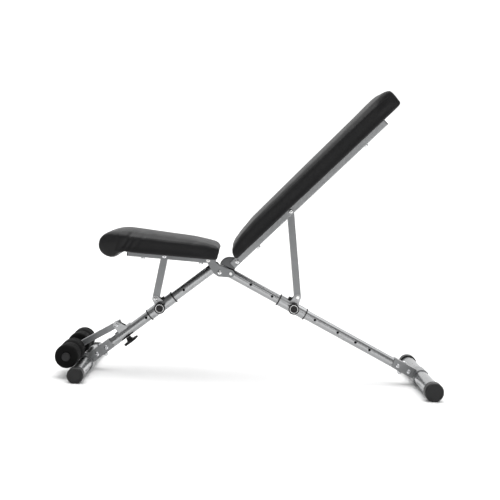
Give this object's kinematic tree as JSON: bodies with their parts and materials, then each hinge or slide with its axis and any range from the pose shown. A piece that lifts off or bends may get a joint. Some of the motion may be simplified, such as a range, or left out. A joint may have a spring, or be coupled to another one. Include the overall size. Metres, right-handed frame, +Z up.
{
  "type": "decline sit-up bench",
  "caption": "Folding sit-up bench with a tilting seat and backrest on sliding props, foam foot rollers on a hinged arm, and two round legs on cross feet.",
  "frame": {"origin": "on the floor under the middle of the bench, at the bottom centre of its bounding box", "axes": "+X along the bench towards the head end, +Y across it away from the side with the pull knobs, +Z up"},
  "size_m": [1.218, 0.504, 0.9607],
  "materials": {
    "leg_silver": "satin silver powder coat",
    "frame_grey": "satin grey powder coat",
    "zinc": "bright zinc plate",
    "black_plastic": "fine matte",
    "bush_plastic": "smooth",
    "knob_ring": "polished",
    "pad_cover": "black leatherette, satin",
    "board_wood": "plywood, raw",
    "foam": "closed-cell foam, matte",
    "bumper_rubber": "matte",
    "silver_link": "satin grey powder coat"
  },
  "bodies": {
    "rear_frame": {"rear_leg_tube": "leg_silver", "rear_stabiliser": "leg_silver", "rear_stabiliser_caps": "black_plastic", "rear_foot_bracket": "frame_grey", "rear_foot_bolts": "zinc", "head_plates": "frame_grey", "head_core": "black_plastic", "backrest_pivot_bolt": "zinc", "backrest_pivot_spacers": "zinc", "fold_rivet": "zinc"},
    "backrest": {"backrest_rail": "frame_grey", "backrest_rail_plug": "black_plastic", "backrest_board": "board_wood", "backrest_pad": "pad_cover", "backrest_screws": "zinc", "rear_link_bolt": "zinc"},
    "rear_link": {"rear_link": "silver_link"},
    "rear_slider": {"rear_sleeve": "frame_grey", "rear_bushes": "bush_plastic", "rear_bumper": "bumper_rubber", "rear_clevis_pins": "zinc", "rear_pull_housing": "black_plastic"},
    "rear_pull": {"rear_pull_knob": "black_plastic", "rear_knob_face": "knob_ring", "rear_lock_pin": "zinc"},
    "front_frame": {"front_leg_tube": "leg_silver", "front_leg_plug": "black_plastic", "front_stabiliser": "leg_silver", "front_stabiliser_caps": "black_plastic", "front_foot_bracket": "frame_grey", "front_foot_bolts": "zinc", "hub_plates": "frame_grey", "hub_bolt": "zinc", "hub_spacer": "zinc", "seat_pivot_bolt": "zinc", "roller_bracket": "frame_grey", "roller_arm_bolt": "zinc"},
    "seat": {"seat_rail": "frame_grey", "seat_rail_plug": "black_plastic", "seat_board": "board_wood", "seat_pad": "pad_cover", "seat_screws": "zinc", "seat_link_bolt": "zinc"},
    "seat_link": {"seat_link": "silver_link"},
    "front_slider": {"front_sleeve": "frame_grey", "front_bushes": "bush_plastic", "front_bumper": "bumper_rubber", "front_clevis_bolt": "zinc", "front_pull_housing": "black_plastic"},
    "front_pull": {"front_pull_knob": "black_plastic", "front_knob_face": "knob_ring", "front_lock_pin": "zinc"},
    "star_knob": {"star_knob": "black_plastic", "star_knob_stud": "zinc"},
    "roller_arm": {"roller_arm": "frame_grey", "roller_arm_plug": "black_plastic", "roller_axle": "zinc", "roller_axle_plugs": "black_plastic"},
    "near_roller": {"near_foam_roller": "foam"},
    "far_roller": {"far_foam_roller": "foam"}
  },
  "joints": [
    {"name": "backrest_tilt", "type": "hinge", "parent": "rear_frame", "child": "backrest", "pos_m": [-0.04923, 0, 0.38298], "axis": [0, 1, 0], "range_deg": [0, 61.79]},
    {"name": "rear_link_swing", "type": "hinge", "parent": "backrest", "child": "rear_link", "pos_m": [0.1191, 0, 0.55851], "axis": [0, 1, 0], "range_deg": [-107.85, 0]},
    {"name": "rear_slider_run", "type": "slide", "parent": "rear_frame", "child": "rear_slider", "axis": [0.8988, 0, -0.4384], "range_m": [0, 0.28851]},
    {"name": "rear_pull_out", "type": "slide", "parent": "rear_slider", "child": "rear_pull", "axis": [0, -1, 0], "range_m": [0, 0.01], "stiffness_N_per_m": 600, "springref_m": -0.01},
    {"name": "leg_fold", "type": "hinge", "parent": "rear_frame", "child": "front_frame", "pos_m": [-0.069, 0, 0.342], "axis": [0, 1, 0], "range_deg": [-105, 0]},
    {"name": "seat_tilt", "type": "hinge", "parent": "front_frame", "child": "seat", "pos_m": [-0.14581, 0, 0.38387], "axis": [0, 1, 0], "range_deg": [-22.9, 24.07]},
    {"name": "seat_link_swing", "type": "hinge", "parent": "seat", "child": "seat_link", "pos_m": [-0.2909, 0, 0.38957], "axis": [0, 1, 0], "range_deg": [-48.16, 45.81]},
    {"name": "front_slider_run", "type": "hinge", "parent": "seat_link", "child": "front_slider", "pos_m": [-0.31349, 0, 0.24613], "axis": [0, 1, 0], "range_deg": [-22.91, 24.08]},
    {"name": "front_pull_out", "type": "slide", "parent": "front_slider", "child": "front_pull", "axis": [0, -1, 0], "range_m": [0, 0.01], "stiffness_N_per_m": 600, "springref_m": -0.01},
    {"name": "star_knob_turn", "type": "hinge", "parent": "front_frame", "child": "star_knob", "pos_m": [-0.39159, 0, 0.10174], "axis": [0.6347, 0, -0.7727], "continuous": true},
    {"name": "roller_arm_tilt", "type": "hinge", "parent": "front_frame", "child": "roller_arm", "pos_m": [-0.43928, 0, 0.15238], "axis": [0, 1, 0], "range_deg": [0, 60]},
    {"name": "near_roller_spin", "type": "hinge", "parent": "roller_arm", "child": "near_roller", "pos_m": [-0.5715, 0, 0.07199], "axis": [0, 1, 0], "continuous": true},
    {"name": "far_roller_spin", "type": "hinge", "parent": "roller_arm", "child": "far_roller", "pos_m": [-0.5715, 0, 0.07199], "axis": [0, 1, 0], "continuous": true}
  ],
  "couplings": [
    {"joint": "rear_link_swing", "follows": "backrest_tilt", "ratio": -1.7454},
    {"joint": "rear_slider_run", "follows": "backrest_tilt", "m_per_rad": 0.26754},
    {"joint": "seat_link_swing", "follows": "seat_tilt", "ratio": -2},
    {"joint": "front_slider_run", "follows": "seat_tilt", "ratio": 1}
  ]
}
